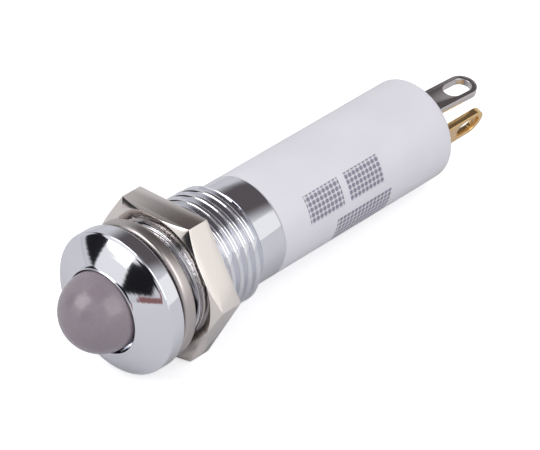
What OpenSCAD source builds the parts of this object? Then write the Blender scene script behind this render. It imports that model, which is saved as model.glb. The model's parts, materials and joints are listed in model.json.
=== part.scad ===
// Panel pilot light with a prominent 5 mm class lamp, for an 8 mm panel hole.
// The light's axis is Y. The lamp looks along -Y, the solder lugs stand out along +Y, and +Z is up.
// The origin is on the axis, at the back of the bezel flange, where the panel's front face sits.
// All lengths are in millimetres.

/* [Bezel] */
// Diameter of the bezel flange
flange_d = 9.7; // [9.2:0.1:12]
// Thickness of the flange's straight rim
rim_t = 1.1; // [0.6:0.1:2]
// Height of the bezel cone in front of the rim
cone_h = 1.26; // [0.8:0.02:2]
// Bulge of the cone over a straight line
cone_crown = 0.06; // [0:0.02:0.12]
// Width of the bright lip round the mouth
lip_w = 0.14; // [0.1:0.02:0.3]
// Radius of the rounded rim edges
rim_edge_r = 0.12; // [0.05:0.01:0.25]

/* [Bush] */
// Major diameter of the fine thread, which is the nominal panel hole
thread_d = 8; // [7.6:0.1:9]
// Thread pitch
thread_pitch = 0.75; // [0.5:0.05:1]
// Length from the flange's back to the thread's end
thread_len = 8.4; // [7.5:0.1:12]
// Length of the plain barrel behind the thread
barrel_len = 2.16; // [1:0.02:4]
// Bore behind the lamp's seat
bush_bore_d = 6.1; // [6.05:0.05:6.2]
// Distance from the flange's back to the lamp's seat
lamp_seat_y = 2.6; // [1.8:0.1:3]

/* [Lamp] */
// Diameter of the moulded epoxy lamp
lamp_d = 5.3; // [4.8:0.1:5.4]
// Distance of the dome's tip in front of the flange's back
lamp_reach = 5.1; // [4.4:0.1:6]
// Diameter of the lamp's rear collar
collar_d = 5.8; // [5.75:0.05:5.85]
// Thickness of the rear collar
collar_t = 1; // [0.6:0.1:1.5]
// Depth of the flat that marks the cathode side of the collar
cathode_flat = 0.2; // [0.1:0.02:0.2]
// Side of the lamp's square leads
lead_side = 0.5; // [0.4:0.05:0.6]
// Distance between the lamp's two leads
lead_pitch = 2.54; // [2.3:0.02:2.7]
// Angle of the cathode lead round the axis, from +X towards +Z
lamp_turn = 98; // [95:1:100]
// How far the loose lamp sits above the bush's axis
lamp_shift = 0.12; // [0:0.02:0.12]

/* [Body] */
// Outer diameter of the moulded body and of the plain barrel
body_d = 7.1; // [6.9:0.05:7.4]
// Length of the body behind the barrel
body_len = 16.7; // [16:0.1:20]
// Inner diameter of the body
body_bore_d = 4.9; // [4.8:0.05:5.2]
// Thickness of the rear wall
end_wall_t = 1.5; // [1:0.1:2]
// Rounding of the rear edge along the axis
end_round_len = 0.85; // [0.5:0.05:1.2]
// Rounding of the rear edge across the axis
end_round_w = 2; // [1:0.1:2.4]

/* [Lock washer] */
// Outer diameter of the split lock washer
washer_d = 9.4; // [9:0.1:10]
// Thickness of the washer's wire
washer_t = 1; // [0.6:0.05:1.1]
// Step between the washer's two ends
washer_rise = 0.36; // [0.1:0.02:0.45]
// Width of the washer's split, in degrees
washer_split = 9; // [5:1:20]
// Angle of the split round the axis, from +X towards +Z
washer_turn = 128; // [90:1:180]

/* [Nut] */
// Width across the nut's flats
nut_af = 9.8; // [9.6:0.1:11]
// Thickness of the nut
nut_t = 2; // [1.5:0.1:3]
// Distance from the flange's back to the nut's front face
nut_y = 2.13; // [1.9:0.01:3]
// Angle of the chamfer on the nut's front corners
nut_chamfer = 30; // [15:1:40]

/* [Solder lugs] */
// Width of a lug
lug_w = 2; // [1.6:0.1:2.2]
// Thickness of a lug
lug_t = 0.5; // [0.3:0.05:0.6]
// How far a lug stands out of the body
lug_reach = 5; // [4:0.1:7]
// Length of a lug inside the body, in front of the rear wall
lug_root = 3.7; // [3:0.1:4]
// Length of the wire slot in a lug
lug_slot_len = 2.15; // [1.6:0.05:2.6]
// Width of the wire slot in a lug
lug_slot_w = 1.3; // [0.8:0.05:1.4]
// Distance from the slot's centre to the lug's tip
lug_slot_y = 1.48; // [1.3:0.02:2]
// Direction that the negative lug's face looks in, from +X towards +Z
negative_turn = 80; // [70:1:90]
// Distance of the negative lug from the axis
negative_offset = 1.28; // [1.24:0.02:1.32]
// Sideways place of the negative lug
negative_shift = 0; // [-0.2:0.05:0.2]
// Sideways lean of the negative lug outside the body, in degrees
negative_lean = 3; // [0:0.5:4]
// Direction that the positive lug's face looks in
positive_turn = -22; // [-30:1:-10]
// Distance of the positive lug from the axis
positive_offset = 1.5; // [1.4:0.05:1.6]
// Sideways place of the positive lug
positive_shift = 0.55; // [0.3:0.05:0.6]

/* [Circuit] */
// Diameter of the resistor and diode wires
wire_d = 0.5; // [0.4:0.05:0.6]
// Diameter of the current limiting resistor
resistor_d = 1.9; // [1.6:0.1:2]
// Length of the resistor
resistor_len = 3.4; // [3:0.1:3.6]
// Diameter of the reverse polarity diode
diode_d = 1.8; // [1.4:0.1:1.9]
// Length of the diode
diode_len = 3.2; // [2.8:0.1:3.4]
// How deep the lamp's leads run into the epoxy
lead_embed = 2.2; // [1.6:0.1:3]
// Overlap of a lamp lead and a wire in a soldered lap joint
joint_lap = 1.5; // [1:0.1:1.8]
// Distance from the barrel's end to the end of the lap joints
joint_setback = 1.5; // [1:0.1:2]
// Solder over the leads in a lap joint
joint_cover = 0.1; // [0.06:0.02:0.2]
// How far the solder of a lap joint runs past the leads' ends
joint_overrun = 0.1; // [0.06:0.02:0.2]
// Bare wire between a lap joint and the resistor
resistor_gap = 1.9; // [1:0.1:2.4]
// Bare wire between the diode and its lug
diode_gap = 0.3; // [0.2:0.05:0.6]
// Length of the wire that lies on a lug
lug_lap = 1.8; // [1.4:0.1:2.2]
// Diameter of the solder bead on a lug
lug_joint_d = 1; // [0.9:0.05:1.2]
// How far a lug's solder bead stays short of the lug's front end
lug_joint_inset = 0.2; // [0.1:0.05:0.4]
// How far a lug's solder bead runs past the wire's end
lug_joint_overrun = 0.35; // [0.25:0.05:0.6]
// Solder film between a lug and the wire that lies on it
solder_film = 0.02; // [0.01:0.01:0.04]
// Wall of the insulating sleeves on the lamp's leads
sleeve_wall = 0.18; // [0.12:0.02:0.22]
// Bare lead between the lamp and a sleeve
sleeve_setback = 0.3; // [0.2:0.1:1]
// Bare lead between a sleeve and its lap joint
sleeve_gap = 0.6; // [0.4:0.1:1]
// Depth of the sealing compound in front of the rear wall
potting_len = 4; // [3.8:0.1:4.2]

/* [Clearances] */
// Radial clearance between the lamp and its bore
lamp_clearance = 0.15; // [0.13:0.01:0.16]
// Radial clearance of the body's spigot in the bush
spigot_clearance = 0.02; // [0.01:0.01:0.05]
// Radial clearance between the thread's crests and the nut
nut_clearance = 0.03; // [0.02:0.01:0.06]
// Radial clearance between the thread's crests and the washer
washer_clearance = 0.1; // [0.05:0.01:0.15]
// Gap between the washer and the flange's back
washer_gap = 0.06; // [0.04:0.01:0.2]
// Clearance round each lug in the rear wall
lug_clearance = 0.03; // [0.02:0.01:0.06]
// Radial clearance of a sleeve round its lead
sleeve_clearance = 0.02; // [0.01:0.01:0.05]

/* [Hidden] */

$fn = 96;
over = 0.5; // how far a cut runs past the surface that it opens

// Radii of the turned pieces
flange_r = flange_d / 2;
thread_r = thread_d / 2;
thread_depth = 0.6134 * thread_pitch; // depth of a metric thread, which is also its end chamfer's length
thread_root_w = thread_pitch / 6; // flat root between the 60 degree flanks, which leaves crests an eighth of a pitch wide
thread_turns = floor((thread_len - thread_depth) / thread_pitch);
body_r = body_d / 2;
body_bore_r = body_bore_d / 2;
bush_bore_r = bush_bore_d / 2;
lamp_r = lamp_d / 2;
mouth_r = lamp_r + lamp_clearance;
lip_r = mouth_r + lip_w;
spigot_r = bush_bore_r - spigot_clearance;

// Places along the axis
mouth_y = -rim_t - cone_h;
barrel_end_y = thread_len + barrel_len;
body_end_y = barrel_end_y + body_len;
collar_back_y = lamp_seat_y + collar_t;
wall_front_y = body_end_y - end_wall_t;
lug_root_y = wall_front_y - lug_root;
potting_y = wall_front_y - potting_len;

// The circuit, from the lamp back to the lugs
sleeve_y = collar_back_y + sleeve_setback;
joint_end_y = barrel_end_y + joint_setback;
joint_y = joint_end_y - joint_lap;
sleeve_end_y = joint_y - sleeve_gap;
resistor_y = joint_end_y + resistor_gap;
resistor_end_y = resistor_y + resistor_len;
diode_end_y = lug_root_y - diode_gap;
diode_y = diode_end_y - diode_len;
wire_end_y = lug_root_y + lug_lap;
wire_offset = lug_t / 2 + solder_film + wire_d / 2; // from a lug's middle to that wire's middle

// Lifts the lamp and what is fixed to it off the bush's axis
module lamp_place() { translate([0, 0, lamp_shift]) children(); }

// Turns a shape drawn along Z so that it runs along Y
module along_y() { rotate([-90, 0, 0]) children(); }

// Turns an outline of [radius, y] points into a ring round the Y axis
module turned(outline) { along_y() rotate_extrude() polygon(outline); }

// A round bar on the Y axis
module bar(r, y0, y1) { translate([0, y0, 0]) along_y() cylinder(r = r, h = y1 - y0); }

// Moves a shape drawn at the origin to an offset along the direction `turn`, and sideways by `shift`
module at_turn(turn, offset, shift = 0) { rotate([0, 90 - turn, 0]) translate([shift, 0, offset]) children(); }

// Points of an arc in the [radius, y] plane, from angle a0 to a1, with `n` steps
function arc(centre, rx, ry, a0, a1, n) =
    [for (i = [0:n]) let (a = a0 + (a1 - a0) * i / n) [centre[0] + rx * cos(a), centre[1] + ry * sin(a)]];

// Points of a straight line from p to q that bulges sideways by h at its middle
function bowed(p, q, h, n) = let (d = q - p, u = [-d[1], d[0]] / norm(d))
    [for (i = [0:n]) let (s = i / n) p + d * s - u * h * 4 * s * (1 - s)];

// ---- Bezel and threaded bush, one turned piece ----

// The thread's grooves as rings at its pitch, from the flange to the end chamfer: few faces, and every crest is there
thread_grooves = [for (i = [0 : thread_turns - 1]) for (step = [[-1, 0], [-1, 1], [1, 1], [1, 0]])
    [thread_r - step[1] * thread_depth,
     (i + 0.5) * thread_pitch + step[0] * (thread_root_w / 2 + (1 - step[1]) * thread_depth * tan(30))]];

module bezel_bush() {
    front_rim = -rim_t;
    cone = bowed([lip_r, mouth_y + 0.06], [flange_r - rim_edge_r, front_rim - rim_edge_r / 2],
        -cone_crown, 8);
    color([0.78, 0.79, 0.81]) turned(concat(
        [[mouth_r, mouth_y + 0.1]],
        arc([mouth_r + lip_w / 2, mouth_y + 0.1], lip_w / 2, 0.1, 180, 330, 5),
        cone,
        arc([flange_r - rim_edge_r, front_rim + rim_edge_r / 2], rim_edge_r, rim_edge_r, -60, 0, 3),
        arc([flange_r - rim_edge_r, -rim_edge_r], rim_edge_r, rim_edge_r, 0, 90, 4),
        [[thread_r, 0]],
        thread_grooves,
        [[thread_r, thread_len - thread_depth],
         [body_r, thread_len],
         [body_r, barrel_end_y],
         [bush_bore_r, barrel_end_y],
         [bush_bore_r, lamp_seat_y],
         [mouth_r, lamp_seat_y]]));
}

// ---- Lamp ----

module lamp_lens() {
    dome_y = -lamp_reach + lamp_r;
    tip_r = lamp_r / 20;
    color([0.56, 0.52, 0.54]) lamp_place() difference() {
        turned(concat([[0, -lamp_reach], [tip_r, -lamp_reach]],
            arc([0, dome_y], lamp_r, lamp_r, -84, 0, 21),
            [[lamp_r, lamp_seat_y], [collar_d / 2, lamp_seat_y],
             [collar_d / 2, collar_back_y], [0, collar_back_y]]));
        at_turn(lamp_turn, collar_d / 2 - cathode_flat)
            translate([-lamp_d, lamp_seat_y, 0]) cube([2 * lamp_d, collar_t + over, lamp_d]);
        lamp_lead(lamp_turn, over);
        lamp_lead(lamp_turn + 180, over);
    }
}

// One of the lamp's square leads, and with `extra` the hole that it leaves in the epoxy
module lamp_lead(turn, extra = 0) {
    at_turn(turn, lead_pitch / 2) translate([-lead_side / 2, collar_back_y - lead_embed, -lead_side / 2])
        cube([lead_side, extra > 0 ? lead_embed + extra : joint_end_y - collar_back_y + lead_embed, lead_side]);
}

module cathode_lead() { color([0.75, 0.75, 0.74]) lamp_place() lamp_lead(lamp_turn); }

module anode_lead() { color([0.75, 0.75, 0.74]) lamp_place() lamp_lead(lamp_turn + 180); }

// Insulating sleeve that is slipped over a lamp lead
module lead_sleeve(turn) {
    inner_r = lead_side / sqrt(2) + sleeve_clearance;
    at_turn(turn, lead_pitch / 2) difference() {
        bar(inner_r + sleeve_wall, sleeve_y, sleeve_end_y);
        bar(inner_r, sleeve_y - over, sleeve_end_y + over);
    }
}

module cathode_sleeve() { color([0.15, 0.15, 0.16]) lamp_place() lead_sleeve(lamp_turn); }

module anode_sleeve() { color([0.7, 0.1, 0.1]) lamp_place() lead_sleeve(lamp_turn + 180); }

// ---- Moulded body ----

module body_tube() {
    end_flat_r = body_r - end_round_w;
    color([0.89, 0.88, 0.9]) difference() {
        union() {
            turned(concat(
                [[0, barrel_end_y], [body_r, barrel_end_y]],
                arc([end_flat_r, body_end_y - end_round_len], end_round_w, end_round_len, 0, 90, 8),
                [[0, body_end_y]]));
            bar(spigot_r, collar_back_y, barrel_end_y);
        }
        bar(body_bore_r, collar_back_y - over, wall_front_y);
        lug_hole(negative_turn, negative_offset, negative_shift);
        lug_hole(positive_turn, positive_offset, positive_shift);
    }
}

// The slot in the rear wall that a lug passes through
module lug_hole(turn, offset, shift) {
    at_turn(turn, offset, shift)
        translate([-lug_w / 2 - lug_clearance, wall_front_y - over, -lug_t / 2 - lug_clearance])
            cube([lug_w + 2 * lug_clearance, end_wall_t + 2 * over, lug_t + 2 * lug_clearance]);
}

// ---- Solder lugs ----

// A flat lug along Y with a round tip and a round-ended wire slot. It leans sideways past the body.
module lug_blade(lean) {
    straight = body_end_y - lug_root_y;
    tip_r = lug_w / 2;
    translate([-lug_w / 2, lug_root_y, -lug_t / 2]) cube([lug_w, straight, lug_t]);
    translate([0, body_end_y, -lug_t / 2]) rotate([0, 0, -lean]) difference() {
        union() {
            translate([-tip_r, -tip_r * tan(lean), 0]) cube([lug_w, lug_reach - tip_r + tip_r * tan(lean), lug_t]);
            translate([0, lug_reach - tip_r, 0]) cylinder(r = tip_r, h = lug_t);
        }
        translate([0, lug_reach - lug_slot_y, -over]) wire_slot(lug_t + 2 * over);
    }
}

module wire_slot(h) {
    half = (lug_slot_len - lug_slot_w) / 2;
    for (side = [-1, 1]) translate([0, side * half, 0]) cylinder(r = lug_slot_w / 2, h = h);
    translate([-lug_slot_w / 2, -half, 0]) cube([lug_slot_w, 2 * half, h]);
}

module negative_lug() {
    color([0.8, 0.79, 0.78]) at_turn(negative_turn, negative_offset, negative_shift) lug_blade(negative_lean);
}

module positive_lug() {
    color([0.9, 0.73, 0.47]) at_turn(positive_turn, positive_offset, positive_shift) lug_blade(0);
}

// ---- Circuit between the lamp and the lugs ----

// Places a shape on the wire that lies on the inner face of a lug
module on_negative_wire() {
    at_turn(negative_turn, negative_offset - wire_offset, negative_shift) children();
}

module on_positive_wire() {
    at_turn(positive_turn, positive_offset - wire_offset, positive_shift) children();
}

// A small component body with rounded ends on the Y axis
module component(d, y0, y1) {
    edge = d / 5;
    turned(concat([[0, y0]], arc([d / 2 - edge, y0 + edge], edge, edge, -90, 0, 4),
        arc([d / 2 - edge, y1 - edge], edge, edge, 0, 90, 4), [[0, y1]]));
}

module series_resistor() {
    color([0.85, 0.76, 0.58]) on_negative_wire() component(resistor_d, resistor_y, resistor_end_y);
}

module resistor_front_wire() { color([0.75, 0.75, 0.74]) on_negative_wire() bar(wire_d / 2, joint_y, resistor_y); }

module resistor_rear_wire() {
    color([0.75, 0.75, 0.74]) on_negative_wire() bar(wire_d / 2, resistor_end_y, wire_end_y);
}

module protection_diode() {
    color([0.16, 0.16, 0.17]) on_positive_wire() component(diode_d, diode_y, diode_end_y);
}

module diode_front_wire() { color([0.75, 0.75, 0.74]) on_positive_wire() bar(wire_d / 2, joint_y, diode_y); }

module diode_rear_wire() { color([0.75, 0.75, 0.74]) on_positive_wire() bar(wire_d / 2, diode_end_y, wire_end_y); }

// A spindle-shaped bead of solder from y0 to y1, on the Y axis
module bead(d, y0, y1) {
    turned(arc([0, (y0 + y1) / 2], d / 2, (y1 - y0) / 2, -90, 90, 12));
}

// The bead midway between a lamp lead and a wire
module lap_bead(lead_turn, wire_turn, offset, shift) {
    lead = lead_pitch / 2 * [cos(lead_turn), sin(lead_turn)] + [0, lamp_shift];
    wire = (offset - wire_offset) * [cos(wire_turn), sin(wire_turn)] + shift * [sin(wire_turn), -cos(wire_turn)];
    middle = (lead + wire) / 2;
    d = norm(lead - wire) + max(lead_side * sqrt(2), wire_d) + 2 * joint_cover;
    translate([middle[0], 0, middle[1]]) bead(d, joint_y - joint_overrun, joint_end_y + joint_overrun);
}

module cathode_joint() {
    color([0.66, 0.66, 0.67]) difference() {
        lap_bead(lamp_turn, negative_turn, negative_offset, negative_shift);
        cathode_lead();
        resistor_front_wire();
    }
}

module anode_joint() {
    color([0.66, 0.66, 0.67]) difference() {
        lap_bead(lamp_turn + 180, positive_turn, positive_offset, positive_shift);
        anode_lead();
        diode_front_wire();
    }
}

// The bead over the end of the wire that lies on a lug
module lug_bead() { bead(lug_joint_d, lug_root_y + lug_joint_inset, wire_end_y + lug_joint_overrun); }

module negative_lug_joint() {
    color([0.66, 0.66, 0.67]) difference() {
        on_negative_wire() lug_bead();
        negative_lug();
        resistor_rear_wire();
    }
}

module positive_lug_joint() {
    color([0.66, 0.66, 0.67]) difference() {
        on_positive_wire() lug_bead();
        positive_lug();
        diode_rear_wire();
    }
}

// Epoxy cast into the rear of the body, round the lugs' roots
module potting() {
    color([0.3, 0.28, 0.26]) difference() {
        bar(body_bore_r, potting_y, wall_front_y);
        negative_lug();
        positive_lug();
        resistor_rear_wire();
        diode_rear_wire();
        on_negative_wire() lug_bead();
        on_positive_wire() lug_bead();
    }
}

// ---- Lock washer and nut ----

// A split spring washer. Its wire climbs along Y from one end to the other.
module lock_washer() {
    inner = thread_r + washer_clearance;
    outer = washer_d / 2;
    edge = 0.16;
    section = [[inner, edge], [inner + edge, 0], [outer - 2 * edge, 0], [outer, 2 * edge],
        [outer, washer_t - 2 * edge], [outer - 2 * edge, washer_t], [inner + edge, washer_t],
        [inner, washer_t - edge]];
    sides = len(section);
    steps = 72;
    start = washer_turn + washer_split / 2;
    sweep = 360 - washer_split;
    points = [for (i = [0:steps], p = section) let (a = start + sweep * i / steps)
        [p[0] * cos(a), washer_gap + washer_rise * i / steps + p[1], p[0] * sin(a)]];
    walls = [for (i = [0:steps - 1], j = [0:sides - 1]) let (k = (j + 1) % sides)
        [i * sides + j, i * sides + k, (i + 1) * sides + k, (i + 1) * sides + j]];
    first = [for (j = [sides - 1:-1:0]) j];
    last = [for (j = [0:sides - 1]) steps * sides + j];
    color([0.62, 0.6, 0.59]) polyhedron(points, concat(walls, [first, last]), convexity = 4);
}

// Hexagonal nut with chamfered front corners, flats up and down, and a plain bore over the thread's crests
module hex_nut() {
    corner_r = nut_af / sqrt(3);
    face_r = nut_af / 2 + 0.05;
    slope = tan(nut_chamfer);
    bore_r = thread_r + nut_clearance;
    color([0.8, 0.78, 0.76]) difference() {
        intersection() {
            translate([0, nut_y, 0]) along_y() cylinder(r = corner_r, h = nut_t, $fn = 6);
            turned([[0, nut_y], [face_r, nut_y], [corner_r + over, nut_y + (corner_r + over - face_r) * slope],
                [corner_r + over, nut_y + nut_t + over], [0, nut_y + nut_t + over]]);
        }
        bar(bore_r, nut_y - over, nut_y + nut_t + over);
    }
}

bezel_bush();
lamp_lens();
cathode_lead();
anode_lead();
cathode_sleeve();
anode_sleeve();
body_tube();
series_resistor();
resistor_front_wire();
resistor_rear_wire();
protection_diode();
diode_front_wire();
diode_rear_wire();
cathode_joint();
anode_joint();
negative_lug_joint();
positive_lug_joint();
potting();
negative_lug();
positive_lug();
lock_washer();
hex_nut();
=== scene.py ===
# A panel pilot light: threaded chrome bush with a lamp, white body, solder lugs, lock washer and nut.
# The sections follow the object as it is put together, then the studio. Lengths in MM are millimetres.
import json
import math

import bpy
from mathutils import Matrix, Vector


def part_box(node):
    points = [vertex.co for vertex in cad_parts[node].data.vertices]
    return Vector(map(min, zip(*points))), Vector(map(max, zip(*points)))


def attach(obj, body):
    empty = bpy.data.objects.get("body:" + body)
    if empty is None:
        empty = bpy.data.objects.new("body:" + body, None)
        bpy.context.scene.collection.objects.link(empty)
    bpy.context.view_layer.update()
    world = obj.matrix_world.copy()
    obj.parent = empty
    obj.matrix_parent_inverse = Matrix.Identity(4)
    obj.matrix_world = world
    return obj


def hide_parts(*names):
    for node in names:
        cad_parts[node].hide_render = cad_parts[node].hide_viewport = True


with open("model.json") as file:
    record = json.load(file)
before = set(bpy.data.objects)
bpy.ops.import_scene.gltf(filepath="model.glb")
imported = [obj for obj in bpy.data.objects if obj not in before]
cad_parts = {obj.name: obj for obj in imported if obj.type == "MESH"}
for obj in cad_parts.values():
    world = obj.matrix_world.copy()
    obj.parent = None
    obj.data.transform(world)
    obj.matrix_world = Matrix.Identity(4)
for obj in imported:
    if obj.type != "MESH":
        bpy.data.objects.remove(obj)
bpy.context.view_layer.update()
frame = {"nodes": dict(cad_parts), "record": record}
mounts = {mount["name"]: mount for mount in frame["record"]["mounts"]}
MM = 0.001

# ---- Bezel and threaded bush ----
# One piece of brass bar, turned on a lathe: cone bezel, straight rim, fine thread and plain barrel.
# Bright nickel and chrome plate over it mirrors the room, and the lathe's fine rings fray the reflections.
flange_back = 0.0
bush_low, bush_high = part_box("bezel_bush")
flange_r = bush_high.x / MM
mouth_y = bush_low.y / MM
barrel_end_y = bush_high.y / MM
thread_r = mounts["panel_thread"]["dims"]["r_mm"]
barrel_r = mounts["body_sleeve"]["dims"]["r_mm"]
thread_end_y = mounts["panel_thread"]["dims"]["length_mm"]
rim_t = 1.1
mouth_r = 2.8
lip_w = 0.14
rim_edge_r = 0.12
bore_r = 3.05
lamp_seat_y = 2.6
thread_pitch = 0.75
thread_root_r = 3.6
thread_start_y = 0.12
bush_sides = 160


def draw_outline(name, points):
    """A chain of edges through [x, y] points in millimetres, drawn by extruding one vertex."""
    bpy.ops.object.select_all(action="DESELECT")
    bpy.ops.mesh.primitive_plane_add(size=MM, location=(points[0][0] * MM, points[0][1] * MM, 0))
    piece = bpy.context.object
    piece.name = piece.data.name = name
    bpy.ops.object.transform_apply()
    bpy.ops.object.mode_set(mode="EDIT")
    bpy.ops.mesh.select_all(action="SELECT")
    bpy.ops.mesh.merge(type="CENTER")
    for (x0, y0), (x1, y1) in zip(points, points[1:]):
        step = ((x1 - x0) * MM, (y1 - y0) * MM, 0)
        bpy.ops.mesh.extrude_region_move(TRANSFORM_OT_translate={"value": step})
    bpy.ops.object.mode_set(mode="OBJECT")
    return piece


def arc(centre, rx, ry, start, end, steps):
    """Points of an arc, with its angles in degrees."""
    angles = [math.radians(start + (end - start) * i / steps) for i in range(steps + 1)]
    return [(centre[0] + rx * math.cos(a), centre[1] + ry * math.sin(a)) for a in angles]


def edit(piece, mode="VERT"):
    """Opens a piece in edit mode with nothing selected."""
    bpy.ops.object.select_all(action="DESELECT")
    bpy.context.view_layer.objects.active = piece
    piece.select_set(True)
    bpy.ops.object.mode_set(mode="EDIT")
    bpy.ops.mesh.select_mode(type=mode)
    bpy.ops.mesh.select_all(action="DESELECT")


def close_up(merge=0.002):
    """Merges doubles and turns the faces of the piece in edit mode outwards."""
    bpy.ops.mesh.select_all(action="SELECT")
    bpy.ops.mesh.remove_doubles(threshold=merge * MM)
    bpy.ops.mesh.normals_make_consistent(inside=False)
    bpy.ops.object.mode_set(mode="OBJECT")


def turn_on_lathe(name, points, sides):
    """Spins an outline of [radius, y] points round the Y axis."""
    piece = draw_outline(name, points)
    edit(piece)
    bpy.ops.mesh.select_all(action="SELECT")
    bpy.ops.mesh.spin(steps=sides, angle=math.tau, center=(0, 0, 0), axis=(0, 1, 0), use_auto_merge=True)
    close_up()
    return piece


def add_modifier(piece, kind, **settings):
    """Adds a modifier and applies it."""
    modifier = piece.modifiers.new(kind.title(), kind)
    for key, value in settings.items():
        setattr(modifier, key, value)
    bpy.ops.object.select_all(action="DESELECT")
    bpy.context.view_layer.objects.active = piece
    piece.select_set(True)
    bpy.ops.object.modifier_apply(modifier=modifier.name)


def smooth(piece, degrees=32):
    """Smooth shading, with edges sharper than the angle kept crisp."""
    bpy.ops.object.select_all(action="DESELECT")
    bpy.context.view_layer.objects.active = piece
    piece.select_set(True)
    bpy.ops.object.shade_smooth_by_angle(angle=math.radians(degrees))


# The cone bulges a little over a straight line, and the lip round the mouth is rolled
lip_r = mouth_r + lip_w
cone_foot = (flange_r - rim_edge_r, -rim_t - rim_edge_r / 2)
cone_top = (lip_r, mouth_y + 0.06)
cone_line = []
for i in range(15):
    share = i / 14
    bulge = 0.24 * share * (1 - share)
    cone_line.append((cone_top[0] + (cone_foot[0] - cone_top[0]) * share + 0.57 * bulge,
                      cone_top[1] + (cone_foot[1] - cone_top[1]) * share - 0.82 * bulge))
bush = turn_on_lathe("bush", [(barrel_r, thread_end_y + 0.06)]
    + arc((barrel_r - 0.08, barrel_end_y - 0.08), 0.08, 0.08, 0, 90, 4)
    + [(bore_r, barrel_end_y), (bore_r, lamp_seat_y), (mouth_r, lamp_seat_y), (mouth_r, mouth_y + 0.3)]
    + arc((mouth_r + lip_w / 2, mouth_y + 0.1), lip_w / 2, 0.1, 180, 330, 8)
    + cone_line
    + arc((flange_r - rim_edge_r, -rim_t + rim_edge_r / 2), rim_edge_r, rim_edge_r, -55, 0, 5)
    + [(flange_r, -rim_t / 2)]
    + arc((flange_r - rim_edge_r, flange_back - rim_edge_r), rim_edge_r, rim_edge_r, 0, 90, 6)
    + [(thread_r, flange_back), (thread_root_r, flange_back), (thread_root_r, thread_start_y - 0.06)],
    bush_sides)

# One pitch of the rolled thread: 60 degree flanks, rounded crest and root
thread_depth = thread_r - thread_root_r
thread_line = []
for i in range(17):
    share = i / 16
    wave = min(1, max(0, 1.35 * (0.5 - 0.5 * math.cos(math.tau * share)) - 0.1))
    rounded = wave * wave * (3 - 2 * wave)
    thread_line.append((thread_root_r + thread_depth * rounded, thread_start_y + (share - 1.5) * thread_pitch))
thread = draw_outline("thread", thread_line)
turns = math.ceil((thread_end_y - thread_start_y) / thread_pitch) + 2
add_modifier(thread, "SCREW", axis="Y", angle=math.tau, screw_offset=thread_pitch * MM, iterations=turns,
             steps=bush_sides, render_steps=bush_sides, use_merge_vertices=True, merge_threshold=0.001 * MM)
edit(thread)
bpy.ops.mesh.select_all(action="SELECT")
bpy.ops.mesh.remove_doubles(threshold=0.001 * MM)
for level, side in ((thread_start_y, "clear_inner"), (thread_end_y, "clear_outer")):
    bpy.ops.mesh.select_all(action="SELECT")
    bpy.ops.mesh.bisect(plane_co=(0, level * MM, 0), plane_no=(0, 1, 0), **{side: True})
bpy.ops.object.mode_set(mode="OBJECT")

# The crests run out at both ends, into the flange's undercut and into the chamfer over the barrel
for vertex in thread.data.vertices:
    radius = math.hypot(vertex.co.x, vertex.co.z) / MM
    from_start = vertex.co.y / MM - thread_start_y
    from_end = thread_end_y - vertex.co.y / MM
    most = min(thread_root_r + 1.7 * from_start, barrel_r + 0.02 + 0.95 * from_end)
    if radius > most:
        vertex.co.x *= most / radius
        vertex.co.z *= most / radius
bpy.ops.object.select_all(action="DESELECT")
thread.select_set(True)
bush.select_set(True)
bpy.context.view_layer.objects.active = bush
bpy.ops.object.join()
for level in (thread_start_y, thread_end_y):
    edit(bush, "EDGE")
    bpy.ops.mesh.select_non_manifold(extend=False)
    bpy.ops.object.mode_set(mode="OBJECT")
    for edge in bush.data.edges:
        middle = (bush.data.vertices[edge.vertices[0]].co + bush.data.vertices[edge.vertices[1]].co) / 2
        edge.select = edge.select and abs(middle.y / MM - level) < 0.09
    bpy.ops.object.mode_set(mode="EDIT")
    bpy.ops.mesh.bridge_edge_loops()
    bpy.ops.object.mode_set(mode="OBJECT")
edit(bush)
close_up(0.0005)
smooth(bush, 40)


def linear(hex_colour):
    """An sRGB hex colour as linear red, green, blue and alpha."""
    parts = [int(hex_colour[i:i + 2], 16) / 255 for i in (1, 3, 5)]
    return [c / 12.92 if c <= 0.04045 else ((c + 0.055) / 1.055) ** 2.4 for c in parts] + [1.0]


def node(tree, kind, settings=None, **inputs):
    """Adds a shader node. An input takes a value, or an output socket to link."""
    made = tree.nodes.new("ShaderNode" + kind)
    for key, value in (settings or {}).items():
        setattr(made, key, value)
    for key, value in inputs.items():
        socket = made.inputs[int(key[1:])] if key[0] == "_" else made.inputs[key.replace("_", " ")]
        if isinstance(value, bpy.types.NodeSocket):
            tree.links.new(value, socket)
        else:
            socket.default_value = value
    return made


def new_material(name, **values):
    """A material with a Principled shader, its constant values set on the shader's own sockets."""
    material = bpy.data.materials.new(name)
    material.use_nodes = True
    shader = material.node_tree.nodes["Principled BSDF"]
    for key, value in values.items():
        shader.inputs[key.replace("_", " ")].default_value = value
    return material, material.node_tree, shader


def finish_piece(piece, material, body, slot, *nodes):
    """Gives a piece its material, parents it to the empty of the body it rides on, and hides the frame's solids
    that it stands for.
    """
    piece.data.materials.clear()
    piece.data.materials.append(material)
    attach(piece, body)
    if nodes:
        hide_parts(*nodes)


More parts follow.
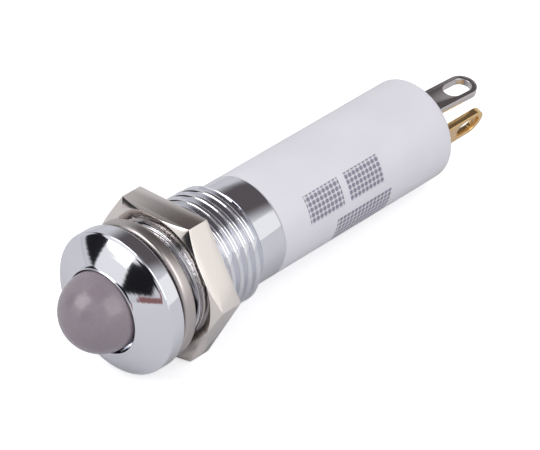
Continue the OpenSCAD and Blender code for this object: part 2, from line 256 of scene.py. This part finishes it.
def turned_rings(tree, spacing, across=6.0):
    """Noise in rings round the Y axis, `spacing` millimetres apart, as a lathe's tool leaves them."""
    place = node(tree, "TexCoord")
    split = node(tree, "SeparateXYZ", Vector=place.outputs["Object"])
    flat = node(tree, "CombineXYZ", X=split.outputs["X"], Z=split.outputs["Z"])
    radius = node(tree, "VectorMath", {"operation": "LENGTH"}, _0=flat.outputs["Vector"])
    turn = node(tree, "Math", {"operation": "ARCTAN2"}, _0=split.outputs["Z"], _1=split.outputs["X"])
    slow = node(tree, "Math", {"operation": "MULTIPLY"}, _0=turn.outputs["Value"], _1=spacing * MM / across)
    rings = node(tree, "CombineXYZ", X=radius.outputs["Value"], Y=split.outputs["Y"], Z=slow.outputs["Value"])
    return node(tree, "TexNoise", Vector=rings.outputs["Vector"], Scale=1 / (spacing * MM), Detail=3.0,
                Roughness=0.55)


# Decorative chrome over polished nickel: a cool mirror. The rings are drawn at 0.16 mm so that they show.
chrome, tree, shader = new_material("bright_chrome_plate", Base_Color=linear("#E9EAEF"), Metallic=1.0,
                                    Roughness=0.07)
rings = turned_rings(tree, 0.16)
ring_bump = node(tree, "Bump", Strength=0.5, Distance=0.005 * MM, Height=rings.outputs[0])
tree.links.new(ring_bump.outputs["Normal"], shader.inputs["Normal"])
finish_piece(bush, chrome, "light", "chrome_plate", "bezel_bush")

# ---- Lamp ----
# The lamp is a 5 mm class LED: tinted, diffused epoxy cast in a polished mould, with a collar at its rear.
# It drops into the bush from the rear and sits a little high in its loose bore.
lamp_low, lamp_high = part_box("lamp_lens")
lamp_tip_y = lamp_low.y / MM
lamp_back_y = lamp_high.y / MM
collar_r = lamp_high.x / MM
lamp_r = 2.65
lamp_rise = lamp_low.z / MM + collar_r
lamp = turn_on_lathe("lamp", arc((0, lamp_tip_y + lamp_r), lamp_r, lamp_r, -90, 0, 40)
    + [(lamp_r, -1.5), (lamp_r, 0.5), (lamp_r, lamp_seat_y)]
    + arc((collar_r - 0.06, lamp_seat_y + 0.06), 0.06, 0.06, -90, 0, 3)
    + [(collar_r, lamp_back_y), (0, lamp_back_y)], 128)
bpy.ops.object.select_all(action="DESELECT")
lamp.select_set(True)
bpy.ops.transform.translate(value=(0, 0, lamp_rise * MM))
bpy.ops.object.transform_apply()
smooth(lamp, 40)

# Milky grey epoxy: light spreads under a glossy skin, and fine diffusant grains cloud it at 0.3 mm
epoxy, tree, shader = new_material("diffused_epoxy", Roughness=0.2, IOR=1.55, Subsurface_Weight=0.35,
                                   Subsurface_Scale=0.6 * MM, Subsurface_Radius=(1.0, 0.9, 0.95))
place = node(tree, "TexCoord")
grains = node(tree, "TexNoise", Vector=place.outputs["Object"], Scale=1 / (0.3 * MM), Detail=4.0)
tint = node(tree, "ValToRGB", _0=grains.outputs[0])
tint.color_ramp.elements[0].color = linear("#8A7F86")
tint.color_ramp.elements[1].color = linear("#948990")
tree.links.new(tint.outputs["Color"], shader.inputs["Base Color"])
finish_piece(lamp, epoxy, "light", "diffused_epoxy", "lamp_lens")

# ---- Lamp leads and sleeves ----
# Two square leads of tinned steel run back from the epoxy, each in its own slipped-on sleeve.
# They are the solids themselves, hidden in the body, and take the finish of the real wire.
tin, tree, shader = new_material("tinned_wire", Base_Color=linear("#BDBDBA"), Metallic=1.0)
place = node(tree, "TexCoord")
dull = node(tree, "TexNoise", Vector=place.outputs["Object"], Scale=1 / (0.4 * MM), Detail=3.0)
haze = node(tree, "MapRange", Value=dull.outputs[0], _3=0.28, _4=0.42)
tree.links.new(haze.outputs[0], shader.inputs["Roughness"])


def dress(name, material):
    """Gives a solid of the frame a finished material."""
    frame["nodes"][name].material_slots[0].material = material


def sleeving(name, hex_colour):
    """Extruded insulating sleeve, satin, with faint lengthwise die lines 0.1 mm apart."""
    material, tree, shader = new_material(name, Base_Color=linear(hex_colour), Roughness=0.45, IOR=1.5)
    place = node(tree, "TexCoord")
    drawn = node(tree, "Mapping", Vector=place.outputs["Object"], Scale=(1, 0.02, 1))
    lines = node(tree, "TexNoise", Vector=drawn.outputs["Vector"], Scale=1 / (0.1 * MM))
    bump = node(tree, "Bump", Strength=0.2, Distance=0.005 * MM, Height=lines.outputs[0])
    tree.links.new(bump.outputs["Normal"], shader.inputs["Normal"])
    return material


for wire in ("cathode_lead", "anode_lead", "resistor_front_wire", "resistor_rear_wire",
             "diode_front_wire", "diode_rear_wire"):
    dress(wire, tin)
dress("cathode_sleeve", sleeving("black_sleeving", "#26262A"))
dress("anode_sleeve", sleeving("red_sleeving", "#A82A2A"))

# ---- Resistor, diode and solder ----
# A lacquered resistor on the negative side and a moulded diode on the positive side limit and guard the lamp.
# Solder joins them to the leads and the lugs. All of it stays hidden in the body.
banded_parts = {"resistor_coat": ("series_resistor", "#D2B98A", "#7A3B1D"),
                "diode_case": ("protection_diode", "#1B1B1E", "#B9B9BC")}
for name, (solid, coat, band) in banded_parts.items():
    low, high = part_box(solid)
    material, tree, shader = new_material(name, Roughness=0.3, IOR=1.5)
    place = node(tree, "TexCoord")
    along = node(tree, "SeparateXYZ", Vector=place.outputs["Object"])
    share = node(tree, "MapRange", Value=along.outputs["Y"], _1=low.y, _2=high.y)
    bands = node(tree, "ValToRGB", _0=share.outputs[0])
    ramp = bands.color_ramp
    ramp.interpolation = "CONSTANT"
    ramp.elements[0].color = linear(coat)
    ramp.elements[1].position, ramp.elements[1].color = 0.2, linear(band)
    ramp.elements.new(0.3).color = linear(coat)
    if name == "resistor_coat":
        ramp.elements.new(0.42).color = linear("#D8841F")
        ramp.elements.new(0.52).color = linear(coat)
        ramp.elements.new(0.78).color = linear("#B99A45")
        ramp.elements.new(0.87).color = linear(coat)
    tree.links.new(bands.outputs["Color"], shader.inputs["Base Color"])
    dress(solid, material)

solder, tree, shader = new_material("solder_bead", Base_Color=linear("#A9A9AC"), Metallic=1.0, Roughness=0.24)
place = node(tree, "TexCoord")
frost = node(tree, "TexNoise", Vector=place.outputs["Object"], Scale=1 / (0.25 * MM), Detail=2.0)
bump = node(tree, "Bump", Strength=0.3, Distance=0.01 * MM, Height=frost.outputs[0])
tree.links.new(bump.outputs["Normal"], shader.inputs["Normal"])
for joint in ("cathode_joint", "anode_joint", "negative_lug_joint", "positive_lug_joint"):
    dress(joint, solder)

# ---- Body ----
# A tube of white nylon, moulded with its closed, rounded rear wall and the lugs' two slots.
# Its spigot is pushed into the barrel, and its rating was pad printed on the side in small ink dots.
body_low, body_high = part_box("body_tube")
body_end_y = body_high.y / MM
spigot_y = body_low.y / MM
spigot_r = 3.03
tube_bore_r = 2.45
end_wall_t = 1.5
end_round_len = 0.85
end_round_w = 2.0
lug_w = 2.0
lug_t = 0.5
slot_gap = 0.03
# Each lug: direction its face looks in, distance from the axis, sideways place
lug_places = {"negative": (80.0, 1.28, 0.0), "positive": (-22.0, 1.5, 0.55)}
body = turn_on_lathe("body", [(0, body_end_y), (0.8, body_end_y)]
    + arc((barrel_r - end_round_w, body_end_y - end_round_len), end_round_w, end_round_len, 90, 0, 16)
    + [(barrel_r, body_end_y - 6), (barrel_r, barrel_end_y + 4)]
    + arc((barrel_r - 0.1, barrel_end_y + 0.12), 0.1, 0.1, 0, -90, 4)
    + [(spigot_r, barrel_end_y + 0.02), (spigot_r, spigot_y), (tube_bore_r, spigot_y),
       (tube_bore_r, body_end_y - end_wall_t), (0, body_end_y - end_wall_t)], 128)


def lug_matrix(turn, offset, shift):
    """From a lug's own place, flat at the origin with its face along Z, to its place on the light."""
    return (Matrix.Rotation(math.radians(90 - turn), 4, "Y")
            @ Matrix.Translation((shift * MM, 0, offset * MM)))


for turn, offset, shift in lug_places.values():
    bpy.ops.object.select_all(action="DESELECT")
    bpy.ops.mesh.primitive_cube_add(size=1)
    cutter = bpy.context.object
    cutter.data.transform(lug_matrix(turn, offset, shift)
        @ Matrix.Translation((0, (body_end_y - end_wall_t / 2) * MM, 0))
        @ Matrix.Diagonal(((lug_w + 2 * slot_gap) * MM, (end_wall_t + 1) * MM, (lug_t + 2 * slot_gap) * MM, 1)))
    add_modifier(body, "BOOLEAN", object=cutter, operation="DIFFERENCE", solver="EXACT")
    bpy.data.objects.remove(cutter)
smooth(body, 35)

# Unfilled nylon 6: satin white, light sinks a little way in, with faint flow clouds some 3 mm across
nylon, tree, shader = new_material("white_moulded_nylon", Roughness=0.42, IOR=1.53, Subsurface_Weight=0.25,
                                   Subsurface_Scale=0.5 * MM, Subsurface_Radius=(1.0, 0.95, 0.95))
place = node(tree, "TexCoord")
clouds = node(tree, "TexNoise", Vector=place.outputs["Object"], Scale=1 / (3 * MM), Detail=3.0)
white = node(tree, "ValToRGB", _0=clouds.outputs[0])
white.color_ramp.elements[0].color = linear("#DBD9DE")
white.color_ramp.elements[1].color = linear("#E6E4E9")
skin = node(tree, "TexNoise", Vector=place.outputs["Object"], Scale=1 / (0.35 * MM), Detail=4.0)
skin_bump = node(tree, "Bump", Strength=0.25, Distance=0.006 * MM, Height=skin.outputs[0])
tree.links.new(skin_bump.outputs["Normal"], shader.inputs["Normal"])
# Pad print: three plain bars of grey dots, 0.36 mm apart. Each bar: start and end along, then round, in degrees
print_bars = ((13.0, 16.2, 8, 40), (16.8, 20.0, 8, 40), (15.5, 20.7, -42, -4))
dot_pitch = 0.36
split = node(tree, "SeparateXYZ", Vector=place.outputs["Object"])
turn = node(tree, "Math", {"operation": "ARCTAN2"}, _0=split.outputs["Z"], _1=split.outputs["X"])
round_it = node(tree, "Math", {"operation": "MULTIPLY"}, _0=turn.outputs[0], _1=barrel_r)
along = node(tree, "Math", {"operation": "DIVIDE"}, _0=split.outputs["Y"], _1=MM)
inked = None
for bar in print_bars:
    ends = (bar[0], bar[1], math.radians(bar[2]) * barrel_r, math.radians(bar[3]) * barrel_r)
    across = [node(tree, "Math", {"operation": "COMPARE"}, _0=source.outputs[0], _1=(low + high) / 2,
                   _2=(high - low) / 2) for source, low, high in ((along, *ends[:2]), (round_it, *ends[2:]))]
    block = node(tree, "Math", {"operation": "MULTIPLY"}, _0=across[0].outputs[0], _1=across[1].outputs[0])
    inked = block if inked is None else node(tree, "Math", {"operation": "ADD"}, _0=inked.outputs[0],
                                             _1=block.outputs[0])
waves = [node(tree, "Math", {"operation": "PINGPONG"}, _0=source.outputs[0], _1=dot_pitch / 2)
         for source in (along, round_it)]
off_centre = node(tree, "CombineXYZ", X=waves[0].outputs[0], Y=waves[1].outputs[0])
reach = node(tree, "VectorMath", {"operation": "LENGTH"}, _0=off_centre.outputs[0])
dot = node(tree, "MapRange", Value=reach.outputs["Value"], _1=dot_pitch * 0.34, _2=dot_pitch * 0.5,
           _3=0.85, _4=0.12)
mark = node(tree, "Math", {"operation": "MULTIPLY"}, _0=dot.outputs[0], _1=inked.outputs[0])
printed = node(tree, "Mix", {"data_type": "RGBA"}, _0=mark.outputs[0], _6=white.outputs["Color"],
               _7=linear("#6F6A80"))
tree.links.new(printed.outputs[2], shader.inputs["Base Color"])
finish_piece(body, nylon, "light", "white_nylon", "body_tube")

# ---- Sealing compound ----
# Dark epoxy is poured round the lugs' roots before the rear is closed. It stays hidden.
# It sets to a dull, slightly rippled mass.
potting, tree, shader = new_material("cast_sealing_epoxy", Base_Color=linear("#3A3532"), Roughness=0.5,
                                     IOR=1.55)
place = node(tree, "TexCoord")
ripple = node(tree, "TexNoise", Vector=place.outputs["Object"], Scale=1 / (0.8 * MM), Detail=3.0)
bump = node(tree, "Bump", Strength=0.4, Distance=0.02 * MM, Height=ripple.outputs[0])
tree.links.new(bump.outputs["Normal"], shader.inputs["Normal"])
dress("potting", potting)

# ---- Solder lugs ----
# Both are blanked from 0.5 mm brass strip, with an oblong wire slot, and barrel plated.
# The negative one is silver coloured and the positive one gold, so that they can't be mixed up.
lug_reach = 5.0
lug_root_y = 22.06
slot_len = 2.15
slot_w = 1.3
slot_centre_y = body_end_y + lug_reach - 1.48
edge_break = 0.05
negative_lean = 3.0


def stamp_lug(name, place, lean):
    """A flat blank with a round tip, its slot cut out, leaned past the body and put in place."""
    turn, offset, shift = place
    half = lug_w / 2
    tip_y = body_end_y + lug_reach
    blank = draw_outline(name, [(-half, lug_root_y), (half, lug_root_y), (half, body_end_y)]
        + arc((0, tip_y - half), half, half, 0, 180, 28) + [(-half, body_end_y), (-half, lug_root_y)])
    edit(blank)
    bpy.ops.mesh.select_all(action="SELECT")
    bpy.ops.mesh.remove_doubles(threshold=0.002 * MM)
    bpy.ops.mesh.select_all(action="SELECT")
    bpy.ops.mesh.edge_face_add()
    bpy.ops.mesh.extrude_region_move(TRANSFORM_OT_translate={"value": (0, 0, lug_t * MM)})
    close_up()
    slot_half = (slot_len - slot_w) / 2
    punch = draw_outline("punch", arc((0, slot_centre_y + slot_half), slot_w / 2, slot_w / 2, 0, 180, 20)
        + arc((0, slot_centre_y - slot_half), slot_w / 2, slot_w / 2, 180, 360, 20)
        + [(slot_w / 2, slot_centre_y + slot_half)])
    edit(punch)
    bpy.ops.mesh.select_all(action="SELECT")
    bpy.ops.mesh.remove_doubles(threshold=0.002 * MM)
    bpy.ops.mesh.select_all(action="SELECT")
    bpy.ops.mesh.edge_face_add()
    bpy.ops.mesh.extrude_region_move(TRANSFORM_OT_translate={"value": (0, 0, 3 * lug_t * MM)})
    close_up()
    punch.data.transform(Matrix.Translation((0, 0, -lug_t * MM)))
    add_modifier(blank, "BOOLEAN", object=punch, operation="DIFFERENCE", solver="EXACT")
    bpy.data.objects.remove(punch)
    add_modifier(blank, "BEVEL", width=edge_break * MM, segments=3, limit_method="ANGLE",
                 angle_limit=math.radians(50))
    blank.data.transform(Matrix.Translation((0, 0, -lug_t * MM / 2)))
    tilt = Matrix.Translation((0, body_end_y * MM, 0)) @ Matrix.Rotation(-math.radians(lean), 4, "Z") \
        @ Matrix.Translation((0, -body_end_y * MM, 0))
    for vertex in blank.data.vertices:
        if vertex.co.y > (body_end_y + 0.01) * MM:
            vertex.co = tilt @ vertex.co
    blank.data.transform(lug_matrix(turn, offset, shift))
    smooth(blank, 35)
    return blank


def plated_strip(name, hex_colour, roughness):
    """Rolled strip under its plating: faint rolling lines 0.05 mm apart, drawn at 0.15 mm so that they show."""
    material, tree, shader = new_material(name, Base_Color=linear(hex_colour), Metallic=1.0)
    place = node(tree, "TexCoord")
    rolled = node(tree, "Mapping", Vector=place.outputs["Object"], Scale=(1, 0.08, 1))
    lines = node(tree, "TexNoise", Vector=rolled.outputs["Vector"], Scale=1 / (0.15 * MM), Detail=3.0)
    haze = node(tree, "MapRange", Value=lines.outputs[0], _3=roughness - 0.05, _4=roughness + 0.08)
    bump = node(tree, "Bump", Strength=0.25, Distance=0.004 * MM, Height=lines.outputs[0])
    tree.links.new(haze.outputs[0], shader.inputs["Roughness"])
    tree.links.new(bump.outputs["Normal"], shader.inputs["Normal"])
    return material


negative_lug = stamp_lug("negative_solder_lug", lug_places["negative"], negative_lean)
finish_piece(negative_lug, plated_strip("silver_plated_brass", "#D6D1CF", 0.2), "light", "silver_plate",
             "negative_lug")
positive_lug = stamp_lug("positive_solder_lug", lug_places["positive"], 0)
finish_piece(positive_lug, plated_strip("gold_plated_brass", "#FBD596", 0.2), "light", "gold_plate",
             "positive_lug")

# ---- Lock washer ----
# One turn of flattened spring wire with its ends cut apart, nickel plated and tumbled to a soft shine.
# It sits round the thread behind the flange and bites as the nut flattens it.
washer_low, washer_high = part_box("lock_washer")
washer_r = washer_high.x / MM
washer_front_y = washer_low.y / MM
washer_t = 1.0
washer_rise = 0.36
washer_split = 9.0
washer_turn = 128.0
washer_bore_r = 4.1
wire_mid_r = (washer_r + washer_bore_r) / 2
corner = 0.2
wire = []
for (centre, start) in (((washer_r - corner * 1.4, washer_t - corner * 1.4), 0),
                        ((washer_bore_r + corner, washer_t - corner), 90),
                        ((washer_bore_r + corner, corner), 180),
                        ((washer_r - corner * 1.4, corner * 1.4), 270)):
    size = corner * 1.4 if centre[0] > wire_mid_r else corner
    wire += arc((centre[0], centre[1] + washer_front_y), size, size, start, start + 90, 6)
washer = draw_outline("spring_washer", wire + [wire[0]])
edit(washer)
bpy.ops.mesh.select_all(action="SELECT")
bpy.ops.mesh.remove_doubles(threshold=0.002 * MM)
bpy.ops.object.mode_set(mode="OBJECT")
sweep = math.radians(360 - washer_split)
washer.data.transform(Matrix.Rotation(-math.radians(washer_turn + washer_split / 2), 4, "Y"))
add_modifier(washer, "SCREW", axis="Y", angle=-sweep, screw_offset=washer_rise * MM, steps=140,
             render_steps=140, use_merge_vertices=False)
edit(washer)
bpy.ops.mesh.select_non_manifold(extend=False)
bpy.ops.mesh.fill_holes(sides=0)
close_up(0.001)
add_modifier(washer, "BEVEL", width=0.03 * MM, segments=2, limit_method="ANGLE", angle_limit=math.radians(60))
smooth(washer, 40)


def nickel(name, hex_colour, roughness, spacing, depth):
    """Warm, slightly hazy nickel plate over turned or drawn metal, with the tool's rings `spacing` mm apart."""
    material, tree, shader = new_material(name, Base_Color=linear(hex_colour), Metallic=1.0)
    rings = turned_rings(tree, spacing)
    place = node(tree, "TexCoord")
    clouds = node(tree, "TexNoise", Vector=place.outputs["Object"], Scale=1 / (1.2 * MM), Detail=3.0)
    haze = node(tree, "MapRange", Value=clouds.outputs[0], _3=roughness * 0.85, _4=roughness * 1.2)
    bump = node(tree, "Bump", Strength=0.4, Distance=depth * MM, Height=rings.outputs[0])
    tree.links.new(haze.outputs[0], shader.inputs["Roughness"])
    tree.links.new(bump.outputs["Normal"], shader.inputs["Normal"])
    return material


finish_piece(washer, nickel("nickel_plated_spring_wire", "#C4BDBA", 0.3, 0.12, 0.004), "washer",
             "washer_nickel", "lock_washer")

# ---- Hex nut ----
# Milled from 9.8 mm hexagon brass bar: faced and chamfered at the front, tapped, and nickel plated.
# It pulls the flange against the panel, with the washer between.
nut_low, nut_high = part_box("hex_nut")
nut_front_y = nut_low.y / MM
nut_back_y = nut_high.y / MM
nut_t = nut_back_y - nut_front_y
nut_af = 2 * nut_high.z / MM
nut_corner_r = nut_high.x / MM
nut_bore_r = 4.03
nut_chamfer = 30.0
nut_face_r = nut_af / 2 + 0.05
bpy.ops.object.select_all(action="DESELECT")
bpy.ops.mesh.primitive_cylinder_add(vertices=6, radius=nut_corner_r * MM, depth=nut_t * MM,
                                    location=(0, (nut_front_y + nut_t / 2) * MM, 0),
                                    rotation=(math.pi / 2, math.pi / 6, 0))
nut = bpy.context.object
nut.name = nut.data.name = "nut"
bpy.ops.object.transform_apply()
slope = math.tan(math.radians(nut_chamfer))
wide_r = nut_corner_r + 1
blank = turn_on_lathe("chamfer_form", [(0, nut_front_y), (nut_face_r, nut_front_y),
    (wide_r, nut_front_y + (wide_r - nut_face_r) * slope), (wide_r, nut_back_y + 1), (0, nut_back_y + 1)], 192)
add_modifier(nut, "BOOLEAN", object=blank, operation="INTERSECT", solver="EXACT")
bpy.data.objects.remove(blank)
bevel_in = 0.12
drill = turn_on_lathe("drill", [(0, nut_front_y - 1), (nut_bore_r + bevel_in + 1, nut_front_y - 1),
    (nut_bore_r, nut_front_y + bevel_in), (nut_bore_r, nut_back_y - bevel_in),
    (nut_bore_r + bevel_in + 1, nut_back_y + 1), (0, nut_back_y + 1)], 128)
add_modifier(nut, "BOOLEAN", object=drill, operation="DIFFERENCE", solver="EXACT")
bpy.data.objects.remove(drill)
add_modifier(nut, "BEVEL", width=0.05 * MM, segments=3, limit_method="ANGLE", angle_limit=math.radians(22))
smooth(nut, 30)
finish_piece(nut, nickel("nickel_plated_brass_nut", "#EDE6E0", 0.14, 0.14, 0.004), "nut",
             "nut_nickel", "hex_nut")

# ---- Floor ----
# A plain pale floor. The light lies on its side, on a corner of the nut and the rear of the body.
# Its lower side drops towards the flange, so the floor runs a little downhill along the axis.
nut_rest = Vector((0, nut_back_y, nut_low.z / MM))
body_rest = Vector((0, body_end_y - end_round_len, -barrel_r))
floor_slope = math.atan2(body_rest.z - nut_rest.z, body_rest.y - nut_rest.y)
bpy.ops.object.select_all(action="DESELECT")
bpy.ops.mesh.primitive_plane_add(size=3, location=nut_rest * MM, rotation=(floor_slope, 0, 0))
floor = bpy.context.object
floor.name = floor.data.name = "floor"
paper = bpy.data.materials.new("white_paper")
paper.use_nodes = True
tree = paper.node_tree
tree.nodes.clear()
seen = node(tree, "LightPath")
matt = node(tree, "BsdfDiffuse", Color=linear("#D4D4D6"))
lift = node(tree, "Emission", Color=(1, 1, 1, 1), Strength=0.62)
bright = node(tree, "AddShader", _0=matt.outputs[0], _1=lift.outputs[0])
either = node(tree, "MixShader", _0=seen.outputs["Is Camera Ray"], _1=matt.outputs[0], _2=bright.outputs[0])
node(tree, "OutputMaterial", Surface=either.outputs[0])
floor.data.materials.append(paper)

# ---- Studio light ----
# A pale room, two soft boxes beside the object, and pale and dark cards that only gloss shows.
# Each stands in a direction given as degrees from the rear of the axis and degrees above the floor.
world = bpy.data.worlds.new("pale_room")
bpy.context.scene.world = world
world.use_nodes = True
tree = world.node_tree
tree.nodes.clear()
seen = node(tree, "LightPath")
room = node(tree, "Background", Color=linear("#D0D0D4"), Strength=1.0)
backdrop = node(tree, "Background", Color=(1, 1, 1, 1), Strength=1.0)
either = node(tree, "MixShader", _0=seen.outputs["Is Camera Ray"], _1=room.outputs[0], _2=backdrop.outputs[0])
node(tree, "OutputWorld", Surface=either.outputs[0])


def direction(turn, rise):
    """The unit vector `turn` degrees round from the rear of the axis and `rise` degrees up."""
    a, b = math.radians(turn), math.radians(rise)
    return Vector((math.sin(a) * math.cos(b), math.cos(a) * math.cos(b), math.sin(b)))


def flag(name, turn, rise, wide, high, hex_colour, distance=0.4, edge=0.12):
    """A card that only reflections show, `wide` by `high` degrees as the object sees it, with soft edges."""
    away = direction(turn, rise)
    bpy.ops.object.select_all(action="DESELECT")
    bpy.ops.mesh.primitive_plane_add(size=1, location=away * distance,
                                     rotation=away.to_track_quat("Z", "Y").to_euler())
    card = bpy.context.object
    card.name = card.data.name = name
    card.scale = [2 * distance * math.tan(math.radians(span / 2)) for span in (wide, high)] + [1]
    card.visible_camera = card.visible_diffuse = card.visible_shadow = False
    card.visible_transmission = card.visible_volume_scatter = False
    material = bpy.data.materials.new(name)
    material.use_nodes = True
    material.node_tree.nodes.clear()
    tree = material.node_tree
    glow = node(tree, "Emission", Color=linear(hex_colour))
    clear = node(tree, "BsdfTransparent")
    across = node(tree, "SeparateXYZ", Vector=node(tree, "TexCoord").outputs["UV"])
    inward = [node(tree, "Math", {"operation": "PINGPONG"}, _0=across.outputs[axis], _1=0.5) for axis in "XY"]
    nearest = node(tree, "Math", {"operation": "MINIMUM"}, _0=inward[0].outputs[0], _1=inward[1].outputs[0])
    fade = node(tree, "MapRange", {"interpolation_type": "SMOOTHSTEP"}, Value=nearest.outputs[0], _1=0.0, _2=edge)
    both = node(tree, "MixShader", _0=fade.outputs[0], _1=clear.outputs[0], _2=glow.outputs[0])
    node(tree, "OutputMaterial", Surface=both.outputs[0])
    card.data.materials.append(material)


def soft_box(name, turn, rise, wide, high, level):
    """A soft light, `wide` by `high` degrees as the object sees it, `level` times as bright as white paper."""
    away = direction(turn, rise)
    light = bpy.data.lights.new(name, "AREA")
    light.shape = "RECTANGLE"
    light.size = 1.2 * math.tan(math.radians(wide / 2))
    light.size_y = 1.2 * math.tan(math.radians(high / 2))
    light.energy = level * math.pi * light.size * light.size_y
    lamp_object = bpy.data.objects.new(name, light)
    lamp_object.location = away * 0.6
    lamp_object.rotation_euler = away.to_track_quat("Z", "Y").to_euler()
    lamp_object.visible_camera = False
    bpy.context.scene.collection.objects.link(lamp_object)


soft_box("left_soft_box", -152, 42, 34, 38, 2.6)
soft_box("right_soft_box", 88, 38, 44, 46, 1.5)
flag("right_wall", 78, 18, 92, 44, "#FAFAFA", 0.8)
flag("left_wall", -155, 26, 56, 46, "#F2F2F4", 0.8)
flag("ceiling_flag", -10, 47, 84, 52, "#5C5759", 0.4, 0.3)
flag("top_flag", 180, 84, 50, 50, "#303034", 0.5)
flag("front_flag", 174, 15, 32, 28, "#1C1C20")
flag("left_flag", -121, 16, 28, 28, "#202024")
flag("brown_flag", 160, -3, 26, 10, "#8A6262", 0.39)

# ---- Camera ----
# A long lens, so that the lines along the axis hardly run together.
camera_data = bpy.data.cameras.new("camera")
camera_data.lens = 280.73
camera_data.sensor_width = 36
camera_data.clip_start = 0.01
camera = bpy.data.objects.new("camera", camera_data)
camera.matrix_world = Matrix(((0.7383, -0.3679, 0.5653, 151.59 * MM),
                              (0.6745, 0.4028, -0.6188, -152.97 * MM),
                              (0.0, 0.8381, 0.5455, 145.29 * MM),
                              (0, 0, 0, 1)))
bpy.context.scene.collection.objects.link(camera)
bpy.context.scene.camera = camera
bpy.context.scene.view_settings.view_transform = "Standard"
